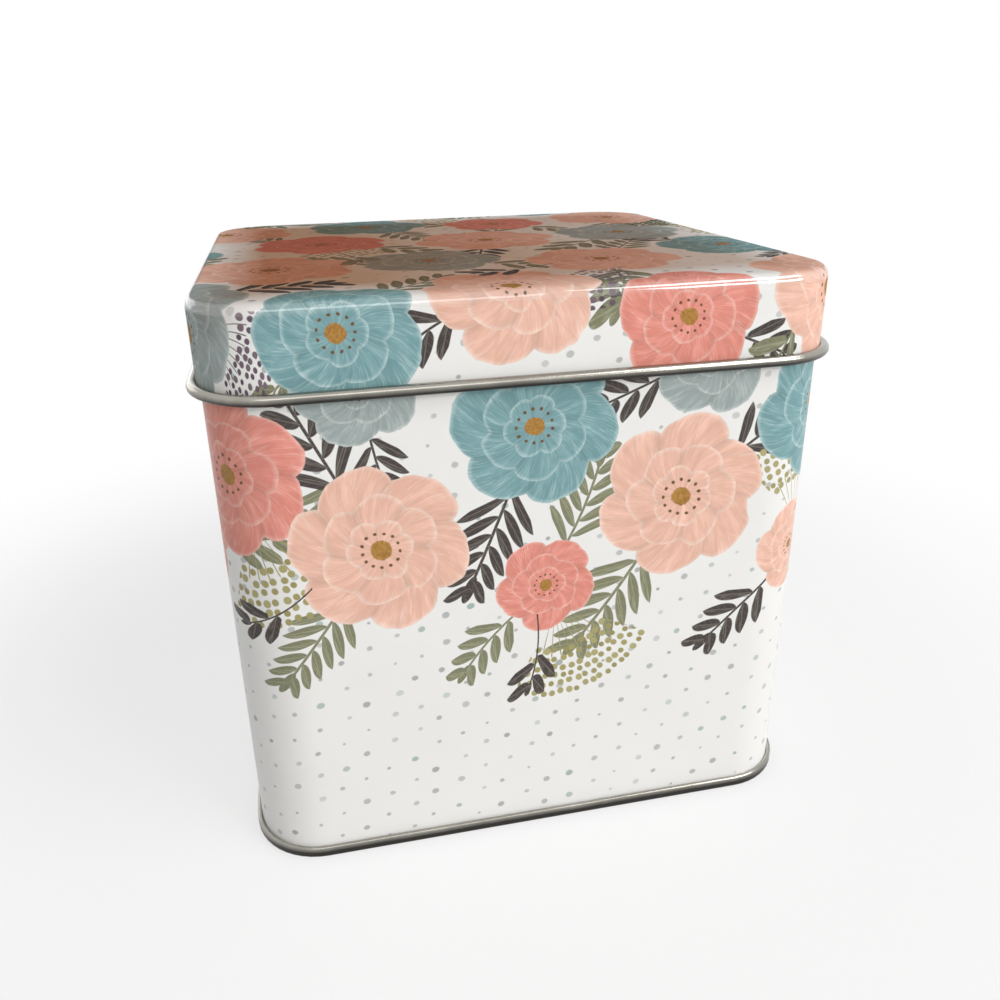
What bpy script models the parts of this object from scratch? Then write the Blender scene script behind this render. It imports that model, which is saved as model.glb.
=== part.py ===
"""A square tinplate box with a lift-off slip lid, at its real size in metres.

Three pressings make it. The wall is one sheet wrapped round four rounded corners, hooked to
itself in a lock seam at the back and rolled inward into a curl at its mouth. The base plate is
held on the wall's lower edge by a double seam, five layers of tinplate folded into each other.
The lid is drawn from one sheet, and its skirt ends in a curl that is rolled outward.

Every piece is square in plan with rounded corners, so each is a profile in (reach, height):
reach is measured outward from the centre of a corner's rounding, height up from the piece's
own origin. The profile runs along the middle of the sheet, and Solidify gives it its thickness.
"""

import math

import bmesh
import bpy
from mathutils import Vector

# The box as a whole
WALL_WIDTH = 0.105
CORNER_RADIUS = 0.012
BOX_HEIGHT = 0.102
SHEET = 0.00025

# Clearances
SLIP_GAP = 0.0003
SEAM_GAP = 0.00006

# The lid
LID_DEPTH = 0.015
LID_EDGE_RADIUS = 0.0018
LID_CURL = 0.00185

# The wall
LOCK_SEAM_WIDTH = 0.0046
LOCK_SEAM_NOTCH = 0.0006

# The base plate
RIM_HEIGHT = 0.0022
RIM_EDGE_RADIUS = 0.000475
PANEL_RECESS = 0.0032
PANEL_EDGE_RADIUS = 0.001

# Angles, and how finely each kind of bend is divided
QUARTER = math.pi / 2
HALF = math.pi
CURL_TURN = math.radians(300)
CORNER_STEPS = 8
CURL_STEPS = 10
FOLD_STEPS = 6
EDGE_STEPS = 4
RIM_EDGE_STEPS = 3
SHARP_ANGLE = math.radians(35)

# Points closer than this are one
TOUCH = 0.000001

# Worked out from the sizes above
HALF_SHEET = SHEET / 2
LAYER = SHEET + SEAM_GAP
CORNER_CENTRE = WALL_WIDTH / 2 - CORNER_RADIUS
WALL_REACH = CORNER_RADIUS - HALF_SHEET
WALL_TOP = BOX_HEIGHT - SHEET - SLIP_GAP
LID_REACH = CORNER_RADIUS + SLIP_GAP + HALF_SHEET
MOUTH_CURL_RADIUS = LID_EDGE_RADIUS - SHEET - SLIP_GAP
LOWER_FOLD = HALF_SHEET + 2 * LAYER
UPPER_FOLD = RIM_HEIGHT - HALF_SHEET - LAYER

# Name, colour, roughness and metallic value of each finish
FINISHES = {
    "printed_lid": ((0.62, 0.70, 0.66, 1.0), 0.22, 0.0),
    "printed_wall": ((0.86, 0.86, 0.83, 1.0), 0.22, 0.0),
    "bare_tinplate": ((0.66, 0.66, 0.65, 1.0), 0.3, 1.0),
}


def clear_scene():
    for obj in list(bpy.data.objects):
        bpy.data.objects.remove(obj, do_unlink=True)


def finish(name):
    """The Principled material of one finish."""
    colour, roughness, metallic = FINISHES[name]
    material = bpy.data.materials.new(name)
    material.use_nodes = True
    surface = material.node_tree.nodes["Principled BSDF"]
    surface.inputs["Base Color"].default_value = colour
    surface.inputs["Roughness"].default_value = roughness
    surface.inputs["Metallic"].default_value = metallic
    return material


def arc(centre, radius, start, turn, steps):
    """Points along an arc of a profile, from its start angle through its turn."""
    angles = [start + turn * step / steps for step in range(steps + 1)]
    return [
        (centre[0] + radius * math.cos(a), centre[1] + radius * math.sin(a))
        for a in angles
    ]


def lid_profile():
    """Flat top, rounded edge, skirt, and the curl rolled outward. Heights are from the curl's foot."""
    top = LID_DEPTH - HALF_SHEET
    edge = LID_EDGE_RADIUS - HALF_SHEET
    roll = LID_CURL / 2 - HALF_SHEET
    return (
        [(0.0, top)]
        + arc((LID_REACH - edge, top - edge), edge, QUARTER, -QUARTER, EDGE_STEPS)
        + arc((LID_REACH + roll, LID_CURL / 2), roll, HALF, CURL_TURN, CURL_STEPS)
    )


def wall_profile():
    """Hook that the base plate holds, the fold below it, the wall, and the curl rolled inward."""
    roll = MOUTH_CURL_RADIUS - HALF_SHEET
    roll_centre = (WALL_REACH - roll, WALL_TOP - MOUTH_CURL_RADIUS)
    return (
        [(WALL_REACH + 2 * LAYER, UPPER_FOLD)]
        + arc((WALL_REACH + LAYER, LOWER_FOLD), LAYER, 0.0, -HALF, FOLD_STEPS)
        + arc(roll_centre, roll, 0.0, CURL_TURN, CURL_STEPS)
    )


def base_profile():
    """Recessed panel, the side that stands inside the wall, and the rim folded over the wall's hook."""
    panel = PANEL_RECESS + HALF_SHEET
    bend = PANEL_EDGE_RADIUS - HALF_SHEET
    turn = RIM_EDGE_RADIUS - HALF_SHEET
    inside = WALL_REACH - LAYER
    outside = WALL_REACH + 3 * LAYER
    foot = HALF_SHEET + turn
    return (
        [(0.0, panel)]
        + arc((inside - bend, panel - bend), bend, QUARTER, -QUARTER, EDGE_STEPS)
        + arc((inside + turn, foot), turn, HALF, QUARTER, RIM_EDGE_STEPS)
        + arc((outside - turn, foot), turn, HALF + QUARTER, QUARTER, RIM_EDGE_STEPS)
        + arc((outside - LAYER, UPPER_FOLD), LAYER, 0.0, HALF, FOLD_STEPS)
        + [(WALL_REACH + LAYER, LOWER_FOLD)]
    )


def drawn_out(bm, edges, shift):
    """Extrudes edges along a straight line and returns the edges at its end."""
    made = bmesh.ops.extrude_edge_only(bm, edges=edges)["geom"]
    ends = [item for item in made if isinstance(item, bmesh.types.BMVert)]
    bmesh.ops.translate(bm, verts=ends, vec=shift)
    return [
        item
        for item in made
        if isinstance(item, bmesh.types.BMEdge) and all(v in ends for v in item.verts)
    ]


def quarter_sheet(name, profile):
    """A quarter of a square piece: its profile turned through one corner, then drawn out along
    both sides to the middle of the box. A profile that starts at the corner's centre has a flat
    panel, whose middle square is drawn out last."""
    bm = bmesh.new()
    centre = Vector((CORNER_CENTRE, CORNER_CENTRE, 0.0))
    points = [bm.verts.new(centre + Vector((reach, 0.0, height))) for reach, height in profile]
    edges = [bm.edges.new(pair) for pair in zip(points, points[1:])]
    turned = bmesh.ops.spin(
        bm,
        geom=points + edges,
        cent=centre,
        axis=Vector((0.0, 0.0, 1.0)),
        angle=QUARTER,
        steps=CORNER_STEPS,
        use_duplicate=False,
    )["geom_last"]
    far = [item for item in turned if isinstance(item, bmesh.types.BMEdge)]
    drawn_out(bm, edges, Vector((0.0, -CORNER_CENTRE, 0.0)))
    drawn_out(bm, far, Vector((-CORNER_CENTRE, 0.0, 0.0)))
    bmesh.ops.remove_doubles(bm, verts=bm.verts, dist=TOUCH)
    if profile[0][0] == 0.0:
        side = [edge for edge in bm.edges if all(abs(v.co.x - CORNER_CENTRE) < TOUCH for v in edge.verts)]
        panel = [edge for edge in side if all(abs(v.co.z - profile[0][1]) < TOUCH for v in edge.verts)]
        inner = [edge for edge in panel if all(v.co.y < CORNER_CENTRE + TOUCH for v in edge.verts)]
        drawn_out(bm, inner, Vector((-CORNER_CENTRE, 0.0, 0.0)))
        bmesh.ops.remove_doubles(bm, verts=bm.verts, dist=TOUCH)
    bmesh.ops.recalc_face_normals(bm, faces=bm.faces)
    mesh = bpy.data.meshes.new(name)
    bm.to_mesh(mesh)
    bm.free()
    return mesh


def mirrored(obj):
    """Mirrors the quarter across both middles of the box."""
    mirror = obj.modifiers.new("Mirror", "MIRROR")
    mirror.use_axis = (True, True, False)
    mirror.use_clip = True
    mirror.merge_threshold = TOUCH


def thickened(obj):
    """Gives the sheet its thickness, half to each side of the profile."""
    sheet = obj.modifiers.new("Sheet", "SOLIDIFY")
    sheet.thickness = SHEET
    sheet.offset = 0.0
    sheet.use_even_offset = True
    sheet.use_quality_normals = True


def piece(name, mesh, finish_name, collection, height=0.0):
    """A named object on the box's middle line, with its own finish."""
    obj = bpy.data.objects.new(name, mesh)
    obj.location.z = height
    collection.objects.link(obj)
    mesh.materials.append(finish(finish_name))
    mesh.shade_smooth()
    mesh.set_sharp_from_angle(angle=SHARP_ANGLE)
    return obj


def drawn_along(bm, edge, path):
    """Extrudes an upright edge through the plan positions of a path."""
    edges = [edge]
    for x, y in path:
        now = edges[0].verts[0].co
        edges = drawn_out(bm, edges, Vector((x - now.x, y - now.y, 0.0)))


def lock_seam(mesh):
    """Opens the back of the wall along a narrow slot and hooks its two edges into each other.

    Counted inward from the wall, layer 0 is the left sheet and layer 2 its hook, layer 3 is the
    right sheet and layer 1 its hook. The slot stops short of the base plate and the mouth's curl.
    """
    half = LOCK_SEAM_WIDTH / 2
    face = WALL_WIDTH / 2 - HALF_SHEET
    low = PANEL_RECESS + SHEET + LOCK_SEAM_NOTCH
    high = WALL_TOP - 2 * MOUTH_CURL_RADIUS - LOCK_SEAM_NOTCH
    left_hook = arc((half, face - LAYER), LAYER, QUARTER, -HALF, FOLD_STEPS)[1:]
    left_hook.append((-half, face - 2 * LAYER))
    right_hook = arc((half + 3 * LAYER, face - LAYER), LAYER, QUARTER, QUARTER, RIM_EDGE_STEPS)[1:]
    right_hook += arc((half, face - LAYER), 2 * LAYER, 0.0, -QUARTER, RIM_EDGE_STEPS)[1:]
    right_hook += arc((-half, face - 2 * LAYER), LAYER, -QUARTER, -HALF, FOLD_STEPS)
    right_hook.append((half, face - LAYER))

    bm = bmesh.new()
    bm.from_mesh(mesh)
    for across in (half, half + 3 * LAYER):
        back = [f for f in bm.faces if f.calc_center_median().y > CORNER_CENTRE]
        cut_faces(bm, back, Vector((across, 0.0, 0.0)), Vector((1.0, 0.0, 0.0)))
    for height in (low, high):
        slot = [f for f in bm.faces if in_slot(f, half, half + 3 * LAYER)]
        cut_faces(bm, slot, Vector((0.0, 0.0, height)), Vector((0.0, 0.0, 1.0)))
    gap = [
        f
        for f in bm.faces
        if in_slot(f, half, half + 3 * LAYER) and low < f.calc_center_median().z < high
    ]
    upright = [e for f in gap for e in f.edges if abs(e.verts[0].co.z - e.verts[1].co.z) > TOUCH]
    left, right = sorted(upright, key=lambda e: e.verts[0].co.x)
    bmesh.ops.delete(bm, geom=gap, context="FACES_ONLY")
    drawn_along(bm, left, left_hook)
    drawn_along(bm, right, right_hook)
    bmesh.ops.recalc_face_normals(bm, faces=bm.faces)
    bm.to_mesh(mesh)
    bm.free()


def in_slot(face, low, high):
    """Whether a face lies at the back of the box, between two distances from its middle."""
    middle = face.calc_center_median()
    return middle.y > CORNER_CENTRE and low < middle.x < high


def cut_faces(bm, faces, place, normal):
    """Divides faces where a plane crosses them."""
    edges = {edge for face in faces for edge in face.edges}
    corners = {vert for face in faces for vert in face.verts}
    bmesh.ops.bisect_plane(
        bm, geom=list(faces) + list(edges) + list(corners), plane_co=place, plane_no=normal, dist=TOUCH
    )


def make_lid(collection):
    lid = piece("lid", quarter_sheet("lid", lid_profile()), "printed_lid", collection, BOX_HEIGHT - LID_DEPTH)
    mirrored(lid)
    thickened(lid)


def make_base_plate(collection):
    base = piece("base_plate", quarter_sheet("base_plate", base_profile()), "bare_tinplate", collection)
    mirrored(base)
    thickened(base)


def make_body_wall(collection):
    """The seam needs the whole wall, so the mirrored quarter is made one mesh before it is cut."""
    wall = piece("body_wall", quarter_sheet("body_wall", wall_profile()), "printed_wall", collection)
    mirrored(wall)
    bpy.context.view_layer.update()
    evaluated = wall.evaluated_get(bpy.context.evaluated_depsgraph_get())
    wall.data = bpy.data.meshes.new_from_object(evaluated)
    wall.modifiers.clear()
    lock_seam(wall.data)
    thickened(wall)


def main():
    clear_scene()
    collection = bpy.data.collections.new("tin_box")
    bpy.context.scene.collection.children.link(collection)
    make_base_plate(collection)
    make_body_wall(collection)
    make_lid(collection)


main()
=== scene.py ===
# %% [markdown]
# # A square tin with a lift-off lid
#
# A printed tin is a sheet-metal object from end to end: one flat sheet is lithographed, cut and
# rolled into the wall, a second is drawn into the lid, and a third is seamed on as the base. Every
# edge that a hand could touch is folded or curled. This lesson makes those three sheets again,
# finer than the plain solids they stand for, and then prints them with nodes. The solids fix each
# size and place, so they come first.

# %% Load the plain solids
import math

import bmesh
import bpy
import numpy as np
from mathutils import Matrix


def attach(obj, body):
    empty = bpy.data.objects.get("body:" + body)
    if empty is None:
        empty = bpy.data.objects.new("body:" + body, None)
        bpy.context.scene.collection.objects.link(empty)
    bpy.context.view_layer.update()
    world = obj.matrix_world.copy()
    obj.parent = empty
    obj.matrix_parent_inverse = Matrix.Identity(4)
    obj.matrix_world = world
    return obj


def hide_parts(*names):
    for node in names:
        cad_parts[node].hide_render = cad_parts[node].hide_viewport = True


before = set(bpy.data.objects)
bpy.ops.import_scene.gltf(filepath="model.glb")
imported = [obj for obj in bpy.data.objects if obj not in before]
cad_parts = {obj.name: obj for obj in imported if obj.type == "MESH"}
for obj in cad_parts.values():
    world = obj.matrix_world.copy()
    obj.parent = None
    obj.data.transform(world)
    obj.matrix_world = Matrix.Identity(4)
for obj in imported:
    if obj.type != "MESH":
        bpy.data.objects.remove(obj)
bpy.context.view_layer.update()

print("solids:", sorted(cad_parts))

# %% [markdown]
# ## The camera
#
# The photograph looks down at the front of the tin, a little from its left. A camera can be set by
# eye, or worked out from points whose real places are known. These numbers come from the corners
# and edges of the tin, whose sizes were found at the same time. The small shift says that the
# picture was cropped a little off its middle.

# %% Set up the camera
CAMERA_PLACE = (-0.036885, -0.183846, 0.125746)
CAMERA_TURN = (67.254, 1.133, -12.218)
CAMERA_LENS = 32.2226
CAMERA_SHIFT = (0.015653, -0.008085)

camera = bpy.data.objects.new("camera", bpy.data.cameras.new("camera"))
bpy.context.scene.collection.objects.link(camera)
camera.location = CAMERA_PLACE
camera.rotation_euler = [math.radians(turn) for turn in CAMERA_TURN]
camera.data.sensor_width = 36.0
camera.data.lens = CAMERA_LENS
camera.data.shift_x, camera.data.shift_y = CAMERA_SHIFT
camera.data.clip_start = 0.01
bpy.context.scene.camera = camera
bpy.context.scene.view_settings.view_transform = "Standard"
print("camera", CAMERA_LENS, "mm lens,", round(camera.location.length, 3), "m from the base")

# %% [markdown]
# ## Sums between sockets
#
# A printed pattern needs a lot of shader arithmetic. Wiring Math nodes by hand is slow and hard to
# read back, so a small class wraps a socket and makes a node for every operator. `1 - mask` then
# reads as it would on paper. Colours don't go through Math nodes, which would turn them grey: they
# have their own helpers below the class.

# %% Wrap a socket
class Ink:
    """A socket that can stand in a sum. Each operator adds the node that works it out."""

    def __init__(self, tree, socket=None):
        self.tree = tree
        self.socket = socket

    def node(self, kind, settings=None, inputs=None, output=0):
        """Adds a node. Its settings are set first, then its inputs are given a value or a link."""
        made = self.tree.nodes.new(kind)
        for name, setting in (settings or {}).items():
            if name == "stops":
                set_stops(made.color_ramp, setting)
            else:
                setattr(made, name, setting)
        for name, value in (inputs or {}).items():
            if isinstance(value, Ink):
                self.tree.links.new(value.socket, made.inputs[name])
            else:
                made.inputs[name].default_value = value
        return Ink(self.tree, made.outputs[output])

    def sum(self, operation, *values, clamp=False):
        settings = {"operation": operation, "use_clamp": clamp}
        return self.node("ShaderNodeMath", settings, dict(enumerate(values)))

    def __add__(self, other):
        return self.sum("ADD", self, other)

    def __radd__(self, other):
        return self.sum("ADD", other, self)

    def __sub__(self, other):
        return self.sum("SUBTRACT", self, other)

    def __rsub__(self, other):
        return self.sum("SUBTRACT", other, self)

    def __mul__(self, other):
        return self.sum("MULTIPLY", self, other)

    def __rmul__(self, other):
        return self.sum("MULTIPLY", other, self)

    def __truediv__(self, other):
        return self.sum("DIVIDE", self, other)

    def __rtruediv__(self, other):
        return self.sum("DIVIDE", other, self)

    def __pow__(self, other):
        return self.sum("POWER", self, other)

    def __abs__(self):
        return self.sum("ABSOLUTE", self)

    def floor(self):
        return self.sum("FLOOR", self)

    def fract(self):
        return self.sum("FRACT", self)

    def below(self, edge, soft):
        """1 where this is under the edge, 0 where it is over, with a soft step between."""
        return self.sum("MULTIPLY_ADD", edge - self, 1.0 / soft, 0.5, clamp=True)

    def above(self, edge, soft):
        """0 where this is under the edge, 1 where it is over, with a soft step between."""
        return self.sum("MULTIPLY_ADD", self - edge, 1.0 / soft, 0.5, clamp=True)

    def larger(self, other):
        return self.sum("MAXIMUM", self, other)

    def parts(self):
        """The three values of a vector."""
        return [self.node("ShaderNodeSeparateXYZ", None, {0: self}, axis) for axis in "XYZ"]


def set_stops(ramp, stops):
    """Gives a colour ramp flat bands: each stop is where a band starts, and its colour."""
    ramp.interpolation = "CONSTANT"
    while len(ramp.elements) < len(stops):
        ramp.elements.new(0.5)
    for element, (place, colour) in zip(ramp.elements, stops):
        element.position = place
        element.color = colour


def vector(x, y, z=0.0):
    """A vector made of three values."""
    return x.node("ShaderNodeCombineXYZ", None, {"X": x, "Y": y, "Z": z})


def blended(amount, first, second):
    """The first colour where the amount is 0, the second where it is 1."""
    settings = {"data_type": "RGBA", "blend_type": "MIX"}
    return amount.node("ShaderNodeMix", settings, {0: amount, 6: first, 7: second}, 2)


def shaded(colour, amount):
    """A colour times a value: under 1 is darker, over 1 is lighter."""
    colour = colour if isinstance(colour, Ink) else colour[:3]
    return amount.node("ShaderNodeVectorMath", {"operation": "SCALE"}, {0: colour, "Scale": amount})


def noise(place, scale, detail=2.0, roughness=0.5):
    """Smooth noise from 0 to 1, about 0.5."""
    inputs = {"Vector": place, "Scale": scale, "Detail": detail, "Roughness": roughness}
    return place.node("ShaderNodeTexNoise", None, inputs)


def screen(red, green, blue):
    """A colour as it is read from a screen, 0 to 255, turned into the linear one that nodes take."""
    value = np.array([red, green, blue]) / 255.0
    linear = np.where(value <= 0.04045, value / 12.92, ((value + 0.055) / 1.055) ** 2.4)
    return (*linear.tolist(), 1.0)


def chances(column, row, more=0.0):
    """Three random values that are the same all over one cell of a lattice."""
    cell = {"Vector": vector(column, row, more)}
    return column.node("ShaderNodeTexWhiteNoise", None, cell, "Color").parts()


print("white of the print, linear:", [round(part, 3) for part in screen(236, 236, 232)])

# %% [markdown]
# ## Floor, world and lamps
#
# The tin stands on a plain pale floor in soft light, as in a small product studio. The background
# is meant to be white, but extra light to make it so would bleach the print. Light Path tells the
# camera's own rays and mirror rays from the rays that light things, so the world shows white to
# the first and stays at a plain level for the others. The floor near the tin is an ordinary matt
# surface, which keeps the tin's shadow, and it fades to white further out.

# %% Light the world
WORLD_LEVEL = 0.27
PAPER_WHITE = (1.0, 1.0, 1.0, 1.0)


def seen_rays(tree):
    """1 for rays from the camera, a mirror or clear glass, 0 for those that only carry light."""
    start = Ink(tree)
    camera_ray, glossy_ray, clear_ray = (
        start.node("ShaderNodeLightPath", None, None, name)
        for name in ("Is Camera Ray", "Is Glossy Ray", "Is Transmission Ray")
    )
    return start.sum("MINIMUM", camera_ray + glossy_ray + clear_ray, 1.0)


world = bpy.data.worlds.new("studio")
world.use_nodes = True
bpy.context.scene.world = world
sky = world.node_tree.nodes["Background"]
strength = WORLD_LEVEL + (1.0 - WORLD_LEVEL) * seen_rays(world.node_tree)
sky.inputs["Color"].default_value = PAPER_WHITE
world.node_tree.links.new(strength.socket, sky.inputs["Strength"])
print("world level", WORLD_LEVEL)

# %% Lay the floor
FLOOR_HALF = 6.0
FLOOR_NEAR = 0.08
FLOOR_FAR = 0.22
FLOOR_LIFT = 0.7
FLOOR_WHITE = (0.93, 0.93, 0.93, 1.0)
FLOOR_DROP = 0.0002


def floor_paper():
    """Matt white paper near the tin, lifted a little, fading to plain white away from it."""
    material = bpy.data.materials.new("floor_paper")
    material.use_nodes = True
    tree = material.node_tree
    tree.nodes.clear()
    start = Ink(tree)
    place = start.node("ShaderNodeTexCoord", None, None, "Object")
    away = start.node("ShaderNodeVectorMath", {"operation": "LENGTH"}, {0: place}, "Value")
    ends = {0: away, "From Min": FLOOR_NEAR, "From Max": FLOOR_FAR, "To Min": FLOOR_LIFT}
    fade = start.node("ShaderNodeMapRange", {"interpolation_type": "SMOOTHSTEP"}, ends)
    matt = start.node("ShaderNodeBsdfDiffuse", None, {"Color": FLOOR_WHITE})
    white = start.node("ShaderNodeEmission", None, {"Color": PAPER_WHITE, "Strength": 1.0})
    both = start.node("ShaderNodeMixShader", None, {0: fade * seen_rays(tree), 1: matt, 2: white})
    out = tree.nodes.new("ShaderNodeOutputMaterial")
    tree.links.new(both.socket, out.inputs["Surface"])
    return material


floor_mesh = bpy.data.meshes.new("floor")
floor_corners = FLOOR_HALF * np.array([[-1, -1, 0], [1, -1, 0], [1, 1, 0], [-1, 1, 0]])
floor_mesh.from_pydata(floor_corners.tolist(), [], [[0, 1, 2, 3]])
floor_mesh.materials.append(floor_paper())
floor = bpy.data.objects.new("floor", floor_mesh)
floor.location.z = -FLOOR_DROP
bpy.context.scene.collection.objects.link(floor)
print("floor", 2 * FLOOR_HALF, "m wide")

# %% Hang the lamps
# Place, watts, and the width and height of each soft box. All of them point at the tin's middle.
LAMPS = {
    "window": ((0.85, -1.00, 0.55), 6.6, (0.8, 0.35)),
    "fill": ((-0.10, -0.90, 0.70), 1.6, (0.8, 0.35)),
    "soft box": ((0.60, -0.45, 0.90), 3.8, (0.7, 0.25)),
    "back light": ((-0.60, 0.90, 0.30), 1.2, (0.8, 0.5)),
}
AIM = np.array([0.0, 0.0, 0.05])


def hang_lamp(name, place, watts, size):
    """A rectangular lamp whose -Z axis points at the tin."""
    data = bpy.data.lights.new(name, "AREA")
    data.shape = "RECTANGLE"
    data.energy = watts
    data.size, data.size_y = size
    lamp = bpy.data.objects.new(name, data)
    lamp.location = place
    toward = np.array(place) - AIM
    turn = math.atan2(toward[0], -toward[1])
    lean = math.acos(toward[2] / np.linalg.norm(toward))
    lamp.rotation_euler = (lean, 0.0, turn)
    bpy.context.scene.collection.objects.link(lamp)


for lamp_name, (lamp_place, lamp_watts, lamp_size) in LAMPS.items():
    hang_lamp(lamp_name, lamp_place, lamp_watts, lamp_size)
print("lamps:", ", ".join(LAMPS))

# %% [markdown]
# ## Walking round the box
#
# The lid, the wall and the base share one plan: a square with rounded corners. Modelling it from
# a cube with bevelled edges gives uneven faces at the corners, and the curls would have to be
# added to it. Instead the plan is a list of stations. Each is a base point and the direction that
# points outward there. Along a side the base point moves and the direction keeps. At a corner the
# point keeps and the direction turns through a quarter, so a profile that is carried from station
# to station stays square to its path.

# %% Make the stations
WALL_WIDTH = 0.105
CORNER_RADIUS = 0.012
CORNER_CENTRE = WALL_WIDTH / 2 - CORNER_RADIUS
SIDE_STEPS = 40
CORNER_STEPS = 12
QUARTER = math.pi / 2


def stations(breaks=()):
    """Stations round the box, counter-clockwise seen from above, as rows of x, y and direction.

    The first side is the back, and each later one is the first turned by a quarter. Breaks are
    extra places across the back, and the walk starts at the first of them.
    """
    lean = np.linspace(0.0, QUARTER, CORNER_STEPS + 1)[1:-1]
    sides = []
    for side in range(4):
        across = np.linspace(CORNER_CENTRE, -CORNER_CENTRE, SIDE_STEPS + 1)
        if side == 0 and breaks:
            across = np.union1d(across, breaks)[::-1]
        place = np.concatenate([across, np.full(lean.size, -CORNER_CENTRE)])
        direction = QUARTER * (side + 1) + np.concatenate([np.zeros(across.size), lean])
        c, s = math.cos(QUARTER * side), math.sin(QUARTER * side)
        x, y = place * c - CORNER_CENTRE * s, place * s + CORNER_CENTRE * c
        sides.append(np.stack([x, y, direction], axis=1))
    walk = np.concatenate(sides)
    start = int(np.argmin(np.hypot(walk[:, 0] - breaks[0], walk[:, 1] - CORNER_CENTRE))) if breaks else 0
    walk = np.roll(walk, -start, axis=0)
    return np.concatenate([walk, walk[:1]])


def length_round(walk, radius):
    """Distance walked at a given reach: the steps of the base point, plus radius x turn."""
    turned = (np.diff(walk[:, 2]) + math.pi) % (2 * math.pi) - math.pi
    steps = np.hypot(*np.diff(walk[:, :2], axis=0).T) + radius * np.abs(turned)
    return np.concatenate([[0.0], np.cumsum(steps)])


round_the_box = length_round(stations(), CORNER_RADIUS)[-1]
print("stations", len(stations()), "and", round(1000 * round_the_box, 1), "mm round the wall")

# %% [markdown]
# ## Profiles
#
# A profile is a line in (reach, height), drawn along the middle of the sheet. Reach is measured
# outward from the centre of a corner's rounding. Straight runs are divided so that no face is
# much longer than it is wide, which the print needs later.

# %% Draw with bends
def bend(centre, radius, start, turn, steps):
    """Points on an arc: centre + radius x (cosine, sine) of the start angle plus a share of the turn."""
    angle = start + turn * np.linspace(0.0, 1.0, steps + 1)
    return np.stack([centre[0] + radius * np.cos(angle), centre[1] + radius * np.sin(angle)], axis=1)


def divided(points, longest):
    """The same line with every step longer than this cut into equal parts."""
    step = np.diff(points, axis=0)
    parts = np.maximum(np.ceil(np.hypot(*step.T) / longest - 1e-6), 1).astype(int)
    which = np.repeat(np.arange(len(step)), parts)
    share = (np.arange(parts.sum()) - np.repeat(np.cumsum(parts) - parts, parts)) / parts[which]
    return np.concatenate([points[which] + step[which] * share[:, None], points[-1:]])


def length_along(points):
    """Distance from the first point of a line to each of its points."""
    return np.concatenate([[0.0], np.cumsum(np.hypot(*np.diff(points, axis=0).T))])


def carried(profile, walk):
    """Surface of a profile on a walk: base point + reach x outward direction, at the profile's height."""
    outward = np.stack([np.cos(walk[:, 2]), np.sin(walk[:, 2])], axis=1)
    plan = walk[:, None, :2] + profile[None, :, :1] * outward[:, None, :]
    height = np.broadcast_to(profile[None, :, 1:], plan.shape[:2] + (1,))
    return np.concatenate([plan, height], axis=2)


print("a quarter bend has", len(bend((0, 0), 0.001, 0.0, QUARTER, 6)), "points")

# %% [markdown]
# ## Weaving grids into a mesh
#
# A grid of points becomes quads between neighbouring rows and columns. One sheet may need several
# grids, such as the ring of the lid and the flat square in its middle, so they go into one mesh
# and are welded where they meet. Each point also has its place in the flat print, as on the sheet
# before it was bent, and that goes into a UV map. A face can be left bare of print, because a
# lithographed sheet has no ink where it will be curled or seamed.

# %% Turn grids into a mesh
WELD = 0.000002
PRINTED, BARE = 0, 1
TOP_SLACK = 0.00016
SIDE_SLACK = 0.00020


def grid(points, flat, bare=None, kept=None):
    """A patch of sheet: its points, their places in the print, and which faces are bare or kept."""
    shape = (points.shape[0] - 1, points.shape[1] - 1)
    bare = np.zeros(shape, bool) if bare is None else np.broadcast_to(bare, shape)
    kept = np.ones(shape, bool) if kept is None else kept
    return {"points": points, "flat": flat, "bare": bare, "kept": kept}


def quads(rows, columns, first):
    """Corner numbers of each face: a point, the next along, the one diagonal to it, the next up."""
    number = first + np.arange(rows * columns).reshape(rows, columns)
    return np.stack([number[:-1, :-1], number[1:, :-1], number[1:, 1:], number[:-1, 1:]], axis=-1)


def woven(name, grids):
    """One welded mesh out of several grids, with its print places in the UV map named flat."""
    points = np.concatenate([g["points"].reshape(-1, 3) for g in grids])
    flat = np.concatenate([g["flat"].reshape(-1, 2) for g in grids])
    firsts = np.cumsum([0] + [g["points"][..., 0].size for g in grids])
    numbers = [quads(*g["points"].shape[:2], first) for g, first in zip(grids, firsts)]
    faces = np.concatenate([number[g["kept"]] for g, number in zip(grids, numbers)])
    bare = np.concatenate([g["bare"][g["kept"]] for g in grids])
    mesh = bpy.data.meshes.new(name)
    mesh.from_pydata(points.tolist(), [], faces.tolist())
    mesh.uv_layers.new(name="flat").uv.foreach_set("vector", flat[faces.ravel()].astype(np.float32).ravel())
    mesh.polygons.foreach_set("material_index", np.where(bare, BARE, PRINTED).astype(np.int32))
    bm = bmesh.new()
    bm.from_mesh(mesh)
    bmesh.ops.remove_doubles(bm, verts=bm.verts, dist=WELD)
    bm.to_mesh(mesh)
    bm.free()
    print(name, "mid-sheet:", len(mesh.vertices), "points,", len(mesh.polygons), "faces")
    return mesh


def slack(across, along, depth):
    """How far thin sheet has sunk: a hollow that fades to nothing at the sides, times slow waves."""
    hollow = (1 - across**2).clip(0, None) ** 2 * (1 - along**2).clip(0, None) ** 2
    waves = 0.55 + 0.25 * np.sin(3.1 * across + 0.7) + 0.2 * np.sin(4.3 * along - 2.2 * across)
    return depth * hollow * waves


deepest = float(slack(np.array(0.1), np.array(0.0), TOP_SLACK))
print("a flat panel of", WALL_WIDTH, "m sinks by up to", round(1000 * deepest, 2), "mm")

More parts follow.
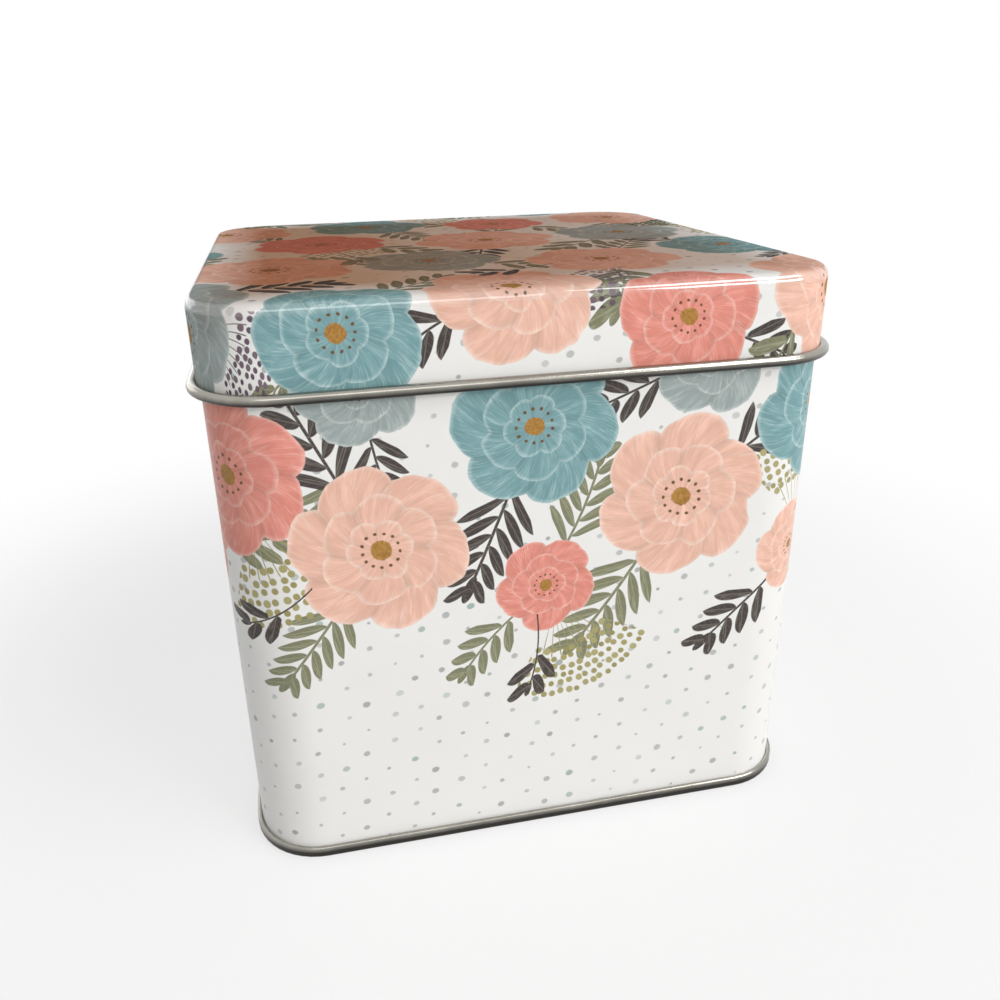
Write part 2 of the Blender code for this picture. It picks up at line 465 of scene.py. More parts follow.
# %% [markdown]
# ## The lid's sheet
#
# The lid is pressed from one flat blank: a punch draws the edge down into a skirt, and a second
# tool rolls the skirt's foot outward into a curl, which stiffens it and hides the cut edge. The
# outer face of the curl is the inner face of the sheet, so it shows bare metal. The print runs on
# down the skirt without a break. Near the corners it is squeezed, as the metal itself is, and this
# falls out of measuring the print outward from the panel: the flat place is the base point plus
# the direction times the length along the profile.

# %% Make the lid's sheet
SHEET = 0.00025
SLIP_GAP = 0.0003
BOX_HEIGHT = 0.102
LID_DEPTH = 0.015
LID_EDGE_RADIUS = 0.0018
LID_CURL = 0.00185
LID_REACH = CORNER_RADIUS + SLIP_GAP + SHEET / 2
LID_FOOT = BOX_HEIGHT - LID_DEPTH
LONGEST = 0.002
EDGE_STEPS = 7
CURL_STEPS = 22
CURL_TURN = math.radians(309)


def lid_profile():
    """From the panel's edge outward, over the edge, down the skirt, and round the curl."""
    top = BOX_HEIGHT - SHEET / 2
    edge = LID_EDGE_RADIUS - SHEET / 2
    roll = LID_CURL / 2 - SHEET / 2
    over = bend((LID_REACH - edge, top - edge), edge, QUARTER, -QUARTER, EDGE_STEPS)
    curl = bend((LID_REACH + roll, LID_FOOT + LID_CURL / 2), roll, math.pi, CURL_TURN, CURL_STEPS)
    return divided(np.concatenate([[[0.0, top]], over, curl]), LONGEST), len(curl)


def panel_grid(height):
    """The flat square between the centres of the corners, as rows of equal steps."""
    line = np.linspace(-CORNER_CENTRE, CORNER_CENTRE, SIDE_STEPS + 1)
    x, y = np.meshgrid(line, line, indexing="ij")
    return np.stack([x, y, np.full_like(x, height)], axis=2)


def sunken_top(points):
    """Lowers the flat top by its slack, which is nothing at the edge."""
    half = WALL_WIDTH / 2 - LID_EDGE_RADIUS
    lowered = points.copy()
    lowered[..., 2] -= slack(points[..., 0] / half, points[..., 1] / half, TOP_SLACK)
    return lowered


lid_line, curl_points = lid_profile()
lid_walk = stations()
lid_ring = sunken_top(carried(lid_line, lid_walk))[:, ::-1]
lid_run = np.stack([length_along(lid_line), np.zeros(len(lid_line))], axis=1)
lid_flat = carried(lid_run, lid_walk)[:, ::-1, :2]
lid_panel = panel_grid(BOX_HEIGHT - SHEET / 2)
lid_bare = np.arange(len(lid_line) - 1) < curl_points - 1
lid_sheet = woven(
    "lid_sheet",
    [grid(lid_ring, lid_flat, lid_bare[None, :]), grid(sunken_top(lid_panel), lid_panel[..., :2])],
)

# %% [markdown]
# ## The wall's sheet
#
# The wall is a strip bent round the four corners. Its ends meet at the back in a lock seam: each
# end is hooked back on itself, and the two hooks lie in each other. At the mouth the sheet rolls
# inward into a curl, and at the foot it has a hook that the base plate holds. Here the ring closes
# on itself, and a narrow column of faces is left out at the back to open the slot. The two hooks
# are paths in plan that start from the edges of that slot.

# %% Make the wall's sheet
SEAM_GAP = 0.00006
LAYER = SHEET + SEAM_GAP
WALL_REACH = CORNER_RADIUS - SHEET / 2
WALL_TOP = BOX_HEIGHT - SHEET - SLIP_GAP
MOUTH_CURL_RADIUS = LID_EDGE_RADIUS - SHEET - SLIP_GAP
RIM_HEIGHT = 0.0022
PANEL_RECESS = 0.0032
LOWER_FOLD = SHEET / 2 + 2 * LAYER
UPPER_FOLD = RIM_HEIGHT - SHEET / 2 - LAYER
SEAM_HALF = 0.0023
SEAM_SIDE = SEAM_HALF + 3 * LAYER
SLOT_MARGIN = 0.0006
SLOT_LOW = PANEL_RECESS + SHEET + SLOT_MARGIN
SLOT_HIGH = WALL_TOP - 2 * MOUTH_CURL_RADIUS - SLOT_MARGIN
BOWED_MIDDLE = 0.044
BOWED_REACH = 0.040
FOLD_STEPS = 10


def wall_profile():
    """From the hook in the base seam, round its fold, up the wall, and round the curl at the mouth."""
    roll = MOUTH_CURL_RADIUS - SHEET / 2
    hook = bend((WALL_REACH + LAYER, LOWER_FOLD), LAYER, 0.0, -math.pi, FOLD_STEPS)
    curl = bend((WALL_REACH - roll, WALL_TOP - MOUTH_CURL_RADIUS), roll, 0.0, CURL_TURN, CURL_STEPS)
    ends = [[WALL_REACH, SLOT_LOW], [WALL_REACH, SLOT_HIGH]]
    return divided(np.concatenate([[[WALL_REACH + 2 * LAYER, UPPER_FOLD]], hook, ends, curl]), LONGEST)


def bowed_wall(points):
    """Moves each flat side in or out by its slack, which fades before the corners, foot and lid."""
    bowed = points.copy()
    up = (points[..., 2] - BOWED_MIDDLE) / BOWED_REACH
    for axis in (0, 1):
        side = np.abs(points[..., axis]) > WALL_WIDTH / 2 - SLOT_MARGIN
        sink = slack(points[..., 1 - axis] / CORNER_CENTRE, up, SIDE_SLACK)
        bowed[..., axis] -= np.where(side, np.sign(points[..., axis]) * sink, 0.0)
    return bowed


def hook_grid(path, heights):
    """A path in plan stood up between the slot's heights. Its print place is never seen."""
    x, z = np.broadcast_arrays(path[:, None, 0], heights[None, :])
    y = np.broadcast_to(path[:, None, 1], x.shape)
    return grid(np.stack([x, y, z], axis=2), np.stack([x, z], axis=2), True)


wall_line = wall_profile()
wall_walk = stations((SEAM_SIDE, SEAM_HALF))
wall_ring = carried(wall_line, wall_walk)
wall_run = length_round(wall_walk, CORNER_RADIUS)
in_front = wall_walk[:, 1] < -CORNER_CENTRE + WELD
front_run = np.interp(0.0, wall_walk[in_front, 0], wall_run[in_front])
wall_flat = np.stack(np.broadcast_arrays((wall_run - front_run)[:, None], wall_line[None, :, 1]), axis=2)
middle = (wall_line[1:, 1] + wall_line[:-1, 1]) / 2
slot_height = (middle > SLOT_LOW) & (middle < SLOT_HIGH)
in_slot = (np.arange(len(wall_walk) - 1) == 0)[:, None] & slot_height[None, :]
print("wall: the print runs from", *np.round(1000 * wall_flat[[0, -1], 0, 0], 1), "mm, 0 in front")

# %% Hook the wall to itself
TURN_STEPS = 5
back_face = WALL_WIDTH / 2 - SHEET / 2
slot_rows = np.flatnonzero((wall_line[:, 1] > SLOT_LOW - WELD) & (wall_line[:, 1] < SLOT_HIGH + WELD))
slot_heights = wall_line[slot_rows[: np.argmax(wall_line[slot_rows, 1]) + 1], 1]
left_hook = np.concatenate([
    bend((SEAM_HALF, back_face - LAYER), LAYER, QUARTER, -math.pi, FOLD_STEPS),
    [[-SEAM_HALF, back_face - 2 * LAYER]],
])
right_hook = np.concatenate([
    bend((SEAM_SIDE, back_face - LAYER), LAYER, QUARTER, QUARTER, TURN_STEPS),
    bend((SEAM_HALF, back_face - LAYER), 2 * LAYER, 0.0, -QUARTER, TURN_STEPS)[1:],
    bend((-SEAM_HALF, back_face - 2 * LAYER), LAYER, -QUARTER, -math.pi, FOLD_STEPS),
    [[SEAM_HALF, back_face - LAYER]],
])
wall_bare = (middle > SLOT_HIGH) | (np.arange(len(middle)) >= len(middle) - CURL_STEPS)
wall_sheet = woven(
    "wall_sheet",
    [
        grid(bowed_wall(wall_ring), wall_flat, wall_bare[None, :], ~in_slot),
        hook_grid(left_hook[::-1], slot_heights),
        hook_grid(right_hook, slot_heights),
    ],
)

# %% [markdown]
# ## The base's sheet
#
# The base plate is held by a double seam, the same joint as on a food can: the plate's edge goes
# down inside the wall, under it, up outside it, over the wall's hook and down again. Five layers
# of tinplate are locked without solder. A plain disc with a rounded rim would look the same in the
# photograph, but this shows the step of the countersink from below and the fold's top from above.

# %% Make the base's sheet
RIM_EDGE_RADIUS = 0.000475
PANEL_EDGE_RADIUS = 0.001
PANEL_STEPS = 6
OVER_STEPS = 12


def base_profile():
    """From the panel's edge, down inside the wall, under the rim, up, over, and down into the hook."""
    panel = PANEL_RECESS + SHEET / 2
    curve = PANEL_EDGE_RADIUS - SHEET / 2
    turn = RIM_EDGE_RADIUS - SHEET / 2
    inside, outside = WALL_REACH - LAYER, WALL_REACH + 3 * LAYER
    runs = [
        [[0.0, panel]],
        bend((inside - curve, panel - curve), curve, QUARTER, -QUARTER, PANEL_STEPS),
        bend((inside + turn, SHEET / 2 + turn), turn, math.pi, QUARTER, TURN_STEPS),
        bend((outside - turn, SHEET / 2 + turn), turn, 3 * QUARTER, QUARTER, TURN_STEPS),
        bend((outside - LAYER, UPPER_FOLD), LAYER, 0.0, math.pi, OVER_STEPS),
        [[WALL_REACH + LAYER, LOWER_FOLD]],
    ]
    return divided(np.concatenate(runs), LONGEST)


base_line = base_profile()
base_ring = carried(base_line, lid_walk)
base_run = length_round(lid_walk, CORNER_RADIUS)
base_flat = np.stack(np.broadcast_arrays(base_run[:, None], length_along(base_line)[None, :]), axis=2)
base_panel = panel_grid(PANEL_RECESS + SHEET / 2)[:, ::-1]
base_sheet = woven(
    "base_sheet", [grid(base_ring, base_flat, True), grid(base_panel, base_panel[..., :2], True)]
)

# %% [markdown]
# ## The print as stickers
#
# The real print is one painted picture of soft round flowers, leaf sprays and dots. This one is a
# new design of common garden motifs in the same colours and at the same scale: petalled blossoms,
# slender sprays, heads of small dots and a dotted ground. A node pattern can repeat a motif on a
# lattice, but not put each one where a designer wants it. So the layout is a table, and each face
# of the sheet is told where it lies on the motifs that cover it. A motif is then drawn by nodes in
# its own units, from -1 to 1 for a blossom, and from 0 at the foot to 1 at the tip for a spray.

# %% Choose the inks
# Each band is an ink: its full colour, and the paler one of its edges and highlights.
INKS = {
    "teal": ((122, 164, 168), (190, 214, 214)),
    "mist": ((162, 174, 172), (208, 215, 211)),
    "peach": ((240, 190, 168), (250, 222, 208)),
    "coral": ((232, 146, 130), (246, 196, 184)),
    "sage": ((132, 133, 104), (172, 173, 146)),
    "charcoal": ((74, 66, 64), (132, 126, 116)),
    "mustard": ((158, 148, 92), (190, 182, 132)),
    "plum": ((92, 74, 88), (140, 120, 132)),
}
FULL_INK = [(band / len(INKS), screen(*pair[0])) for band, pair in enumerate(INKS.values())]
PALE_INK = [(band / len(INKS), screen(*pair[1])) for band, pair in enumerate(INKS.values())]


def code(count, ink, chance):
    """One number for a motif: how many parts it has, plus its ink's band, with some chance in it."""
    band = np.array([list(INKS).index(name) for name in np.atleast_1d(ink)])
    return np.asarray(count) + (band + 0.15 + 0.7 * np.asarray(chance)) / len(INKS)


print(len(INKS), "inks:", ", ".join(INKS))

# %% Lay out the blossoms
# Place across and up in mm, radius in mm, petals and ink. The strip covers two sides of the wall.
WALL_BLOSSOMS = [
    (-51, 75, 14, 6, "coral"), (-27, 61, 15, 6, "peach"), (-29, 89, 10, 5, "mist"),
    (-1, 80, 14, 6, "teal"), (1, 51, 9, 5, "coral"), (25, 65, 15, 6, "peach"),
    (29, 90, 11, 5, "mist"), (52, 79, 14, 5, "teal"), (49, 52, 9, 5, "peach"),
    (78, 87, 13, 6, "coral"), (83, 60, 15, 6, "mist"), (107, 78, 15, 5, "peach"),
    (110, 49, 9, 5, "teal"), (131, 90, 11, 5, "teal"), (134, 64, 13, 6, "coral"),
]
LID_BLOSSOMS = [
    (-57, -45, 14, 6, "mist"), (-31, -57, 13, 5, "teal"), (-4, -50, 14, 6, "peach"),
    (24, -58, 12, 5, "coral"), (52, -50, 15, 6, "peach"), (-40, -22, 15, 6, "peach"),
    (-12, -20, 13, 5, "mist"), (18, -28, 14, 6, "peach"), (46, -18, 13, 5, "teal"),
    (-60, 0, 11, 5, "teal"), (-30, 10, 14, 6, "coral"), (4, 6, 15, 6, "peach"),
    (34, 8, 14, 5, "mist"), (62, 10, 12, 5, "coral"), (-50, 34, 15, 6, "peach"),
    (-18, 38, 14, 5, "teal"), (12, 34, 12, 6, "coral"), (42, 38, 15, 6, "peach"),
    (-34, 60, 12, 5, "mist"), (-4, 62, 13, 6, "peach"), (26, 60, 12, 5, "teal"),
    (-62, -22, 9, 5, "mist"), (64, -24, 10, 5, "peach"), (60, 44, 10, 5, "mist"),
]


def blossom_table(rows, seed):
    """Columns: place, radius, turn and code. The turn and the chance in the code are seeded."""
    chance = np.random.default_rng(seed).random((len(rows), 2))
    place = np.array([row[:3] for row in rows]) / 1000.0
    named = code([row[3] for row in rows], [row[4] for row in rows], chance[:, 1])
    return np.column_stack([place, 2 * math.pi * chance[:, 0], named])


wall_blossoms = blossom_table(WALL_BLOSSOMS, 3)
lid_blossoms = blossom_table(LID_BLOSSOMS, 8)
print(len(wall_blossoms), "blossoms on two sides of the wall,", len(lid_blossoms), "on the lid")

# %% Grow sprays and dot heads out of the blossoms
def growth(blossoms, each, inks, counts, past, seed, foot=0.3):
    """Motifs that start at a share of each blossom's radius and reach past its rim.

    The turns are spread evenly round the blossom, then shaken. The length is what is left of the
    radius plus a seeded distance past the rim.
    """
    random = np.random.default_rng(seed)
    shape = (len(blossoms), each)
    turn = random.random((len(blossoms), 1)) + (np.arange(each) + 0.45 * random.random(shape)) / each
    turn = 2 * math.pi * turn
    radius = blossoms[:, 2:3]
    length = (1 - foot) * radius + past[0] + (past[1] - past[0]) * random.random(shape)
    x = blossoms[:, 0:1] + foot * radius * np.cos(turn)
    y = blossoms[:, 1:2] + foot * radius * np.sin(turn)
    ink = np.array(inks)[random.integers(len(inks), size=shape)].ravel()
    count = random.integers(counts[0], counts[1] + 1, size=shape).ravel()
    named = code(count, ink, random.random(shape).ravel())
    return np.column_stack([x.ravel(), y.ravel(), length.ravel(), turn.ravel(), named])


def repeated(table, period):
    """A strip's motifs again at each side of it, so that it goes once more round the wall."""
    shifts = period * np.array([-2, -1, 0, 1, 2])
    moved = np.repeat(table[None], len(shifts), axis=0)
    moved[:, :, 0] += shifts[:, None]
    return moved.reshape(-1, table.shape[1])


STRIP = length_round(wall_walk, CORNER_RADIUS)[-1] / 2
SPRAY_INKS = ["sage", "sage", "charcoal"]
wall_motifs = {
    "spray": growth(wall_blossoms, 2, SPRAY_INKS, (5, 7), (0.013, 0.019), 21, 0.5),
    "head": growth(wall_blossoms[::2], 1, ["mustard", "plum"], (9, 12), (0.012, 0.016), 5, 0.5),
    "blossom": wall_blossoms,
    "twig": growth(wall_blossoms[1::3], 1, ["charcoal"], (2, 3), (0.012, 0.015), 250, 0.97),
}
wall_motifs = {kind: repeated(table, STRIP) for kind, table in wall_motifs.items()}
lid_motifs = {
    "spray": growth(lid_blossoms, 2, SPRAY_INKS, (4, 6), (0.011, 0.016), 33, 0.5),
    "head": growth(lid_blossoms[::3], 1, ["mustard", "plum"], (9, 12), (0.010, 0.014), 6, 0.5),
    "blossom": lid_blossoms,
    "twig": growth(lid_blossoms[1::3], 1, ["charcoal", "sage"], (2, 3), (0.011, 0.014), 251, 0.97),
}
print("wall motifs:", {kind: len(table) for kind, table in wall_motifs.items()})

# %% Tell each face which motifs cover it
# The oval that each kind of motif lies in, in its own units: its middle, and how far it reaches.
OVALS = {
    "spray": ((0.56, 0.0), (0.60, 0.38)),
    "head": ((0.56, 0.0), (0.54, 0.76)),
    "blossom": ((0.0, 0.0), (1.07, 1.07)),
    "twig": ((0.56, 0.0), (0.60, 0.50)),
}
SOLID_PART = 0.72
NOWHERE = (9.0, 9.0, 0.0)


def on_motif(places, motifs):
    """Place on a motif: the distance from its origin, turned back by its turn, over its size."""
    away = places - motifs[..., :2]
    c, s = np.cos(motifs[..., 3]), np.sin(motifs[..., 3])
    along = away[..., 0] * c + away[..., 1] * s
    across = away[..., 1] * c - away[..., 0] * s
    return np.stack([along, across], axis=-1) / motifs[..., 2:3]


def face_places(mesh):
    """For each face its middle in the flat print, how far its corners lie from that, and how many
    corners it has. Also the flat places of all corners."""
    flat = np.empty((len(mesh.loops), 2), np.float32)
    mesh.uv_layers["flat"].uv.foreach_get("vector", flat.ravel())
    first = np.empty(len(mesh.polygons), np.int32)
    mesh.polygons.foreach_get("loop_start", first)
    sides = np.diff(np.append(first, len(flat)))
    centre = np.add.reduceat(flat, first, axis=0) / sides[:, None]
    spread = np.maximum.reduceat(np.hypot(*(flat - np.repeat(centre, sides, axis=0)).T), first)
    return flat, centre, spread, sides


def stick(mesh, kind, motifs, blossoms):
    """Writes one attribute per layer of this kind: for each face corner, its place on the motif
    that lies there, and the motif's code. Motifs that come first in the table lie lowest, and
    nothing is laid under the solid part of a blossom."""
    flat, centre, spread, sides = face_places(mesh)
    middle, reach = np.array(OVALS[kind])
    place = (on_motif(centre[:, None], motifs[None]) - middle) / reach
    margin = spread[:, None] / (motifs[None, :, 2] * reach.min())
    covers = np.hypot(place[..., 0], place[..., 1]) < 1 + margin
    if kind in ("spray", "head"):
        depth = np.linalg.norm(on_motif(centre[:, None], blossoms[None]), axis=-1)
        covers &= (depth + spread[:, None] / blossoms[None, :, 2] > SOLID_PART).all(axis=1)[:, None]
    layer = np.cumsum(covers, axis=1)
    for number in range(1, layer.max() + 1):
        here = covers & (layer == number)
        motif = np.repeat(here.argmax(axis=1), sides)
        values = np.column_stack([on_motif(flat, motifs[motif]), motifs[motif, 4]])
        values[~np.repeat(here.any(axis=1), sides)] = NOWHERE
        attribute = mesh.attributes.new(f"{kind}_{number}", "FLOAT_VECTOR", "CORNER")
        attribute.data.foreach_set("vector", values.astype(np.float32).ravel())
    return int(layer.max())


def stick_all(mesh, tables):
    """Sticks every kind of motif on a sheet, and says how many layers of each kind it took."""
    return {kind: stick(mesh, kind, table, tables["blossom"]) for kind, table in tables.items()}


wall_layers = stick_all(wall_sheet, wall_motifs)
lid_layers = stick_all(lid_sheet, lid_motifs)
print("layers on the wall:", wall_layers)
print("layers on the lid:", lid_layers)

# %% [markdown]
# ## Drawing the motifs
#
# Each motif is a function of the two places that the faces carry. A shape is where a distance is
# under an edge, so every outline is one comparison, and brush marks are noise that is stretched
# along the stroke. Each function returns the colour and how much of it covers what lies below.
# A motif is drawn in several layers, so it is made once as a node group and used for each.

# %% Draw a blossom
def read_place(stored):
    """The place along and across a motif, its count of parts and the rest of its code."""
    along, across, named = stored.parts()
    return along, across, named.floor(), named.fract()


def inks_of(chance):
    """The full and the pale colour of the band that the code's fraction falls in."""
    return [
        chance.node("ShaderNodeValToRGB", {"stops": stops}, {"Fac": chance}, "Color")
        for stops in (FULL_INK, PALE_INK)
    ]


def petal_ring(away, turn, count, size, chance, full, pale):
    """One ring of petals, as its colour and cover.

    The lobe runs from -0.5 to 0.5 across a petal, and the rim is size x (1 - 0.9 |lobe|^2.4).
    Strokes run out from the centre, because the noise is stretched that way.
    """
    lobe = ((turn + 0.1 * away) * count).fract() - 0.5
    inside = size * (1.0 - 0.9 * abs(lobe) ** 2.4) - away
    petal = (turn * count).floor() + chance * 60.0
    wash = noise(vector(lobe * 7.0, away * 2.5, petal), 1.0, 3.0, 0.6)
    bristle = noise(vector(lobe * 42.0, away * 4.0, petal), 1.0, 2.0)
    crease = (abs(lobe) * 2.0) ** 6.0
    rim = inside.below(0.03, 0.045) * 0.6
    pale_part = rim + bristle.above(0.60, 0.12) * 0.4 + wash.above(0.6, 0.3) * 0.25
    light = wash * 0.44 + 0.78 - crease * 0.14
    return shaded(blended(pale_part, full, pale), light), inside.above(0.0, 0.012)


def blossom(stored):
    """Three rings of petals, each smaller and turned by half a petal, and a dotted centre."""
    x, y, count, chance = read_place(stored)
    full, pale = inks_of(chance)
    wobble = noise(vector(x, y, chance * 70.0), 2.6, 2.0)
    away = (x * x + y * y) ** 0.5 + (wobble - 0.5) * 0.13
    turn = x.sum("ARCTAN2", y, x) * (1.0 / (2.0 * math.pi)) + 1.0
    colour, cover = petal_ring(away, turn, count, 1.0, chance, full, pale)
    for size in (0.66, 0.38):
        turn = turn + 0.5 / count
        ring, there = petal_ring(away, turn, count, size, chance + size, full, pale)
        colour = blended(there, colour, ring)
    spoke = (turn * 13.0).fract() - 0.5
    stamen = ((spoke * 0.10) ** 2.0 + (away - 0.215) ** 2.0) ** 0.5
    colour = blended(stamen.below(0.020, 0.01), colour, screen(112, 84, 52))
    speckle = noise(vector(x, y, chance * 40.0), 26.0, 2.0)
    heart = shaded(blended(speckle, screen(142, 96, 36), screen(200, 152, 78)), 0.8 + speckle * 0.4)
    return blended((away + speckle * 0.03).below(0.13, 0.015), colour, heart), cover


# %% Draw a spray
def spray(stored, fat=1.0):
    """A bent stem with pairs of pointed leaves.

    The leaves lie in slanted bands: the band number is floor of count x (along - slant x out), so
    every leaf is the same drawing. Inside a band, leaf runs 0 to 1 from the stem to the leaf's tip
    and half is the distance from its midrib.
    """
    along, across, count, chance = read_place(stored)
    full, pale = inks_of(chance)
    across = across - ((chance * 31.0).fract() * 0.5 - 0.25) * along * (1.0 - along)
    out = abs(across)
    band = (along - 0.95 * out + across.sum("SIGN", across) * 0.2 / count) * count
    half = band.fract() - 0.5
    leaf = out / (0.31 * fat - (band.floor() / count) * (0.19 * fat))
    inside = 0.40 * (1.0 - abs(1.0 - leaf * 2.0) ** 2.2) - abs(half)
    paired = band.below(count - 0.02, 0.04) * band.above(1.2, 0.04)
    cover = inside.above(0.0, 0.05) * leaf.below(1.0, 0.02) * paired
    stem = out.below(0.011, 0.005) * along.below(0.96, 0.02)
    last = (((along - 0.97) * 9.0) ** 2.0 + (out * 26.0) ** 2.0).below(1.0, 0.15)
    strokes = noise(vector(half * 7.0, leaf * 1.6, band.floor() + chance * 60.0), 1.5, 3.0, 0.6)
    vein = abs(half).below(0.035, 0.04)
    ribs = abs((leaf * 5.0 - abs(half) * 4.0).fract() - 0.5).below(0.07, 0.1)
    lit = half.above(0.0, 0.1) * strokes.above(0.55, 0.12)
    colour = shaded(blended(lit * 0.55, full, pale), 0.76 + strokes * 0.48)
    colour = blended(vein.larger(ribs * 0.4) * 0.55, colour, pale)
    return colour, cover.larger(stem).larger(last)


def twig(stored):
    """The same drawing with fatter leaves, for a spray of only a few."""
    return spray(stored, 1.35)


# %% Draw a head of dots
def head(stored):
    """A fan of dots on fine stalks. A dot's cell is its row by distance and its column by angle,
    and the cell's chances move the dot a little and set its size. The head's own chance is made
    whole first, because its last digits differ within a face."""
    x, y, count, chance = read_place(stored)
    full, pale = inks_of(chance)
    away = (x * x + y * y) ** 0.5
    angle = x.sum("ARCTAN2", y, x)
    down = away * 11.0
    over = angle * down.floor() * 1.15 + down.floor() * 0.5
    shift = chances(over.floor(), down.floor(), (chance * 97.0).floor())
    row = down.floor()
    ahead = down.fract() - 0.5 + (shift[0] - 0.5) * 0.4
    aside = over.fract() - 0.5 + (shift[1] - 0.5) * 0.4
    dot = (ahead**2.0 + aside**2.0) ** 0.5
    fan = abs(angle).below(0.78, 0.01) * row.above(4.8, 0.1) * row.below(10.2, 0.1)
    stalk = abs((angle * 6.0).fract() - 0.5).below(0.06, 0.06) * abs(angle).below(0.66, 0.02)
    stalk = stalk * away.below(0.56, 0.02) * away.above(0.12, 0.02)
    return blended(shift[2] * 0.7, full, pale), (dot.below(0.30 + shift[2] * 0.1, 0.10) * fan).larger(stalk)


# %% Keep each drawing as a node group
def drawing_group(draw):
    """A node group that turns a place on a motif into its colour and cover."""
    tree = bpy.data.node_groups.new(draw.__name__, "ShaderNodeTree")
    tree.interface.new_socket("Place", in_out="INPUT", socket_type="NodeSocketVector")
    tree.interface.new_socket("Colour", in_out="OUTPUT", socket_type="NodeSocketColor")
    tree.interface.new_socket("Cover", in_out="OUTPUT", socket_type="NodeSocketFloat")
    entry = tree.nodes.new("NodeGroupInput")
    result = tree.nodes.new("NodeGroupOutput")
    for made, socket in zip(draw(Ink(tree, entry.outputs["Place"])), result.inputs):
        tree.links.new(made.socket, socket)
    print(draw.__name__, "is drawn with", len(tree.nodes), "nodes")
    return tree


DRAWINGS = {draw.__name__: drawing_group(draw) for draw in (spray, head, blossom, twig)}

# %% [markdown]
# ## Printing the sheet
#
# A lithographed sheet is white base coat, inks and a clear varnish. The coat is what shines: it
# mirrors the lamps in soft streaks over a print that is itself less glossy. The ground has small
# dots on a slanted lattice, and each one differs a little in size, place and strength, as if it
# had been set down by hand. The camera sees the lid's top at so low an angle that even a faint
# mirror would turn it white, so there the coat is worn thin and the print under it mirrors nothing.

# %% Mix the print
DOT_PITCH = 0.0048
DOT_TURN = 0.38
# Colour for the lid's top: partly a tan tint of the print, partly painted shade.
TOP_TINT_AND_SHADE = screen(186, 144, 114)
TOP_COAT, SIDE_COAT, EDGE_COAT = 0.05, 0.14, 1.0
COAT_IOR = 2.0


def ground(flat):
    """White base coat with dots. The flat places are turned, then cut into staggered cells."""
    x, y, _ = flat.parts()
    c, s = math.cos(DOT_TURN) / DOT_PITCH, math.sin(DOT_TURN) / DOT_PITCH
    x, y = x * c + y * s, y * c - x * s
    x = x + (y.floor() * 0.5).fract()
    shift = chances(x.floor(), y.floor())
    over = (x.fract() - 0.5 + (shift[0] - 0.5) * 0.3) * 0.85
    down = y.fract() - 0.5 + (shift[1] - 0.5) * 0.3
    dot = (over * over + down * down) ** 0.5 + (noise(flat, 900.0, 1.0) - 0.5) * 0.05
    cover = dot.below(0.045 + shift[2] * 0.08, 0.035) * (0.4 + shift[0] * 0.45)
    paper = shaded(screen(243, 242, 239), 0.98 + noise(flat, 60.0, 2.0) * 0.04)
    dots = blended(shift[1].above(0.8, 0.2), screen(156, 160, 158), screen(148, 172, 166))
    return blended(cover, paper, dots)


def glazed(colour, flat, half):
    """A warm glaze over the middle of the lid's top, uneven and gone before its edge: partly a tan tint of
    the print, partly painted shade that is darker towards the left.
    """
    x, y, _ = flat.parts()
    edge = abs(x).larger(abs(y)) * (1.0 / half) + (noise(flat, 40.0, 3.0, 0.6) - 0.5) * 0.16
    amount = edge.below(0.90, 0.26) * (0.60 - x * (0.25 / half) + noise(flat, 25.0, 3.0, 0.6) * 0.5)
    settings = {"data_type": "RGBA", "blend_type": "MULTIPLY"}
    return amount.node("ShaderNodeMix", settings, {0: amount, 6: colour, 7: TOP_TINT_AND_SHADE}, 2)


def varnish(z):
    """Weight of the clear coat: worn dull on the lid's top, and thickest round the lid's edge."""
    edge = z.above(BOX_HEIGHT - LID_EDGE_RADIUS, 0.0005)
    under_top = z.below(BOX_HEIGHT - 0.0003, 0.0002)
    return TOP_COAT + under_top * (SIDE_COAT - TOP_COAT + edge * (EDGE_COAT - SIDE_COAT))


def new_material(name):
    """A material, a start for sums in it, and its Principled node."""
    material = bpy.data.materials.new(name)
    material.use_nodes = True
    return material, Ink(material.node_tree), material.node_tree.nodes["Principled BSDF"]


def wire(surface, values):
    """Sets the surface's sockets: a link from an Ink, or a plain value."""
    for name, value in values.items():
        if isinstance(value, Ink):
            value.tree.links.new(value.socket, surface.inputs[name])
        else:
            surface.inputs[name].default_value = value


def bumped(start, distance, height):
    inputs = {"Strength": 1.0, "Distance": distance, "Height": height}
    return start.node("ShaderNodeBump", None, inputs)


